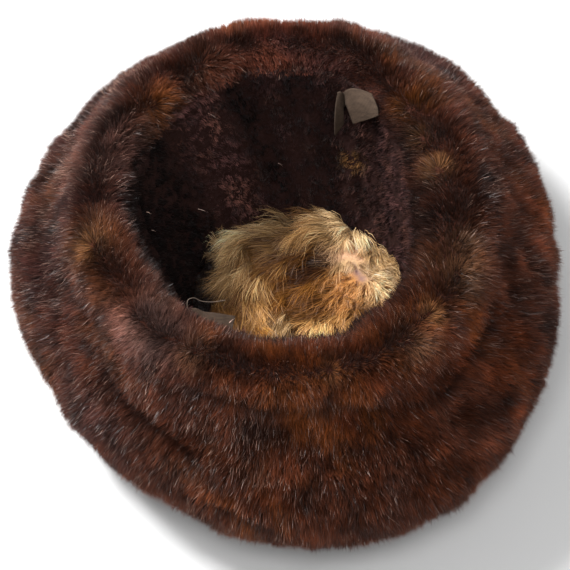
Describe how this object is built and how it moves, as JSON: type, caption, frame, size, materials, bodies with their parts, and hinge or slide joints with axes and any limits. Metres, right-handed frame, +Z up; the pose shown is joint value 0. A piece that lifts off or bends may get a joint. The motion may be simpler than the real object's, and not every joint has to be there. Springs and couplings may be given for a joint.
{
  "type": "otter fur cap",
  "caption": "Round fur cap lying on its crown, with a rolled fur cuff, a plush-lined hollow closed by long-haired fur, and cloth tabs at the rim.",
  "frame": {"origin": "on the surface that the cap lies on, under the middle of the crown", "axes": "+Z up through the opening, X from ear to ear, Y along the length of the head with -Y towards the viewer of the picture"},
  "size_m": [0.3393, 0.3755, 0.1617],
  "materials": {
    "crown_fur": "deep glossy brown fur with pale guard-hair glints",
    "cuff_fur": "brown fur, redder along its parting",
    "plush": "matt sheared plush, nearly black brown",
    "tan_pelt": "long tan to cream hair on bare skin",
    "tab_cloth": "matt grey-brown plain weave"
  },
  "bodies": {
    "root": {"crown_top": "crown_fur", "crown_side": "crown_fur", "cuff": "cuff_fur", "lining_wall": "plush", "crown_lining": "tan_pelt", "tab_far": "tab_cloth", "tab_near": "tab_cloth"}
  },
  "joints": []
}
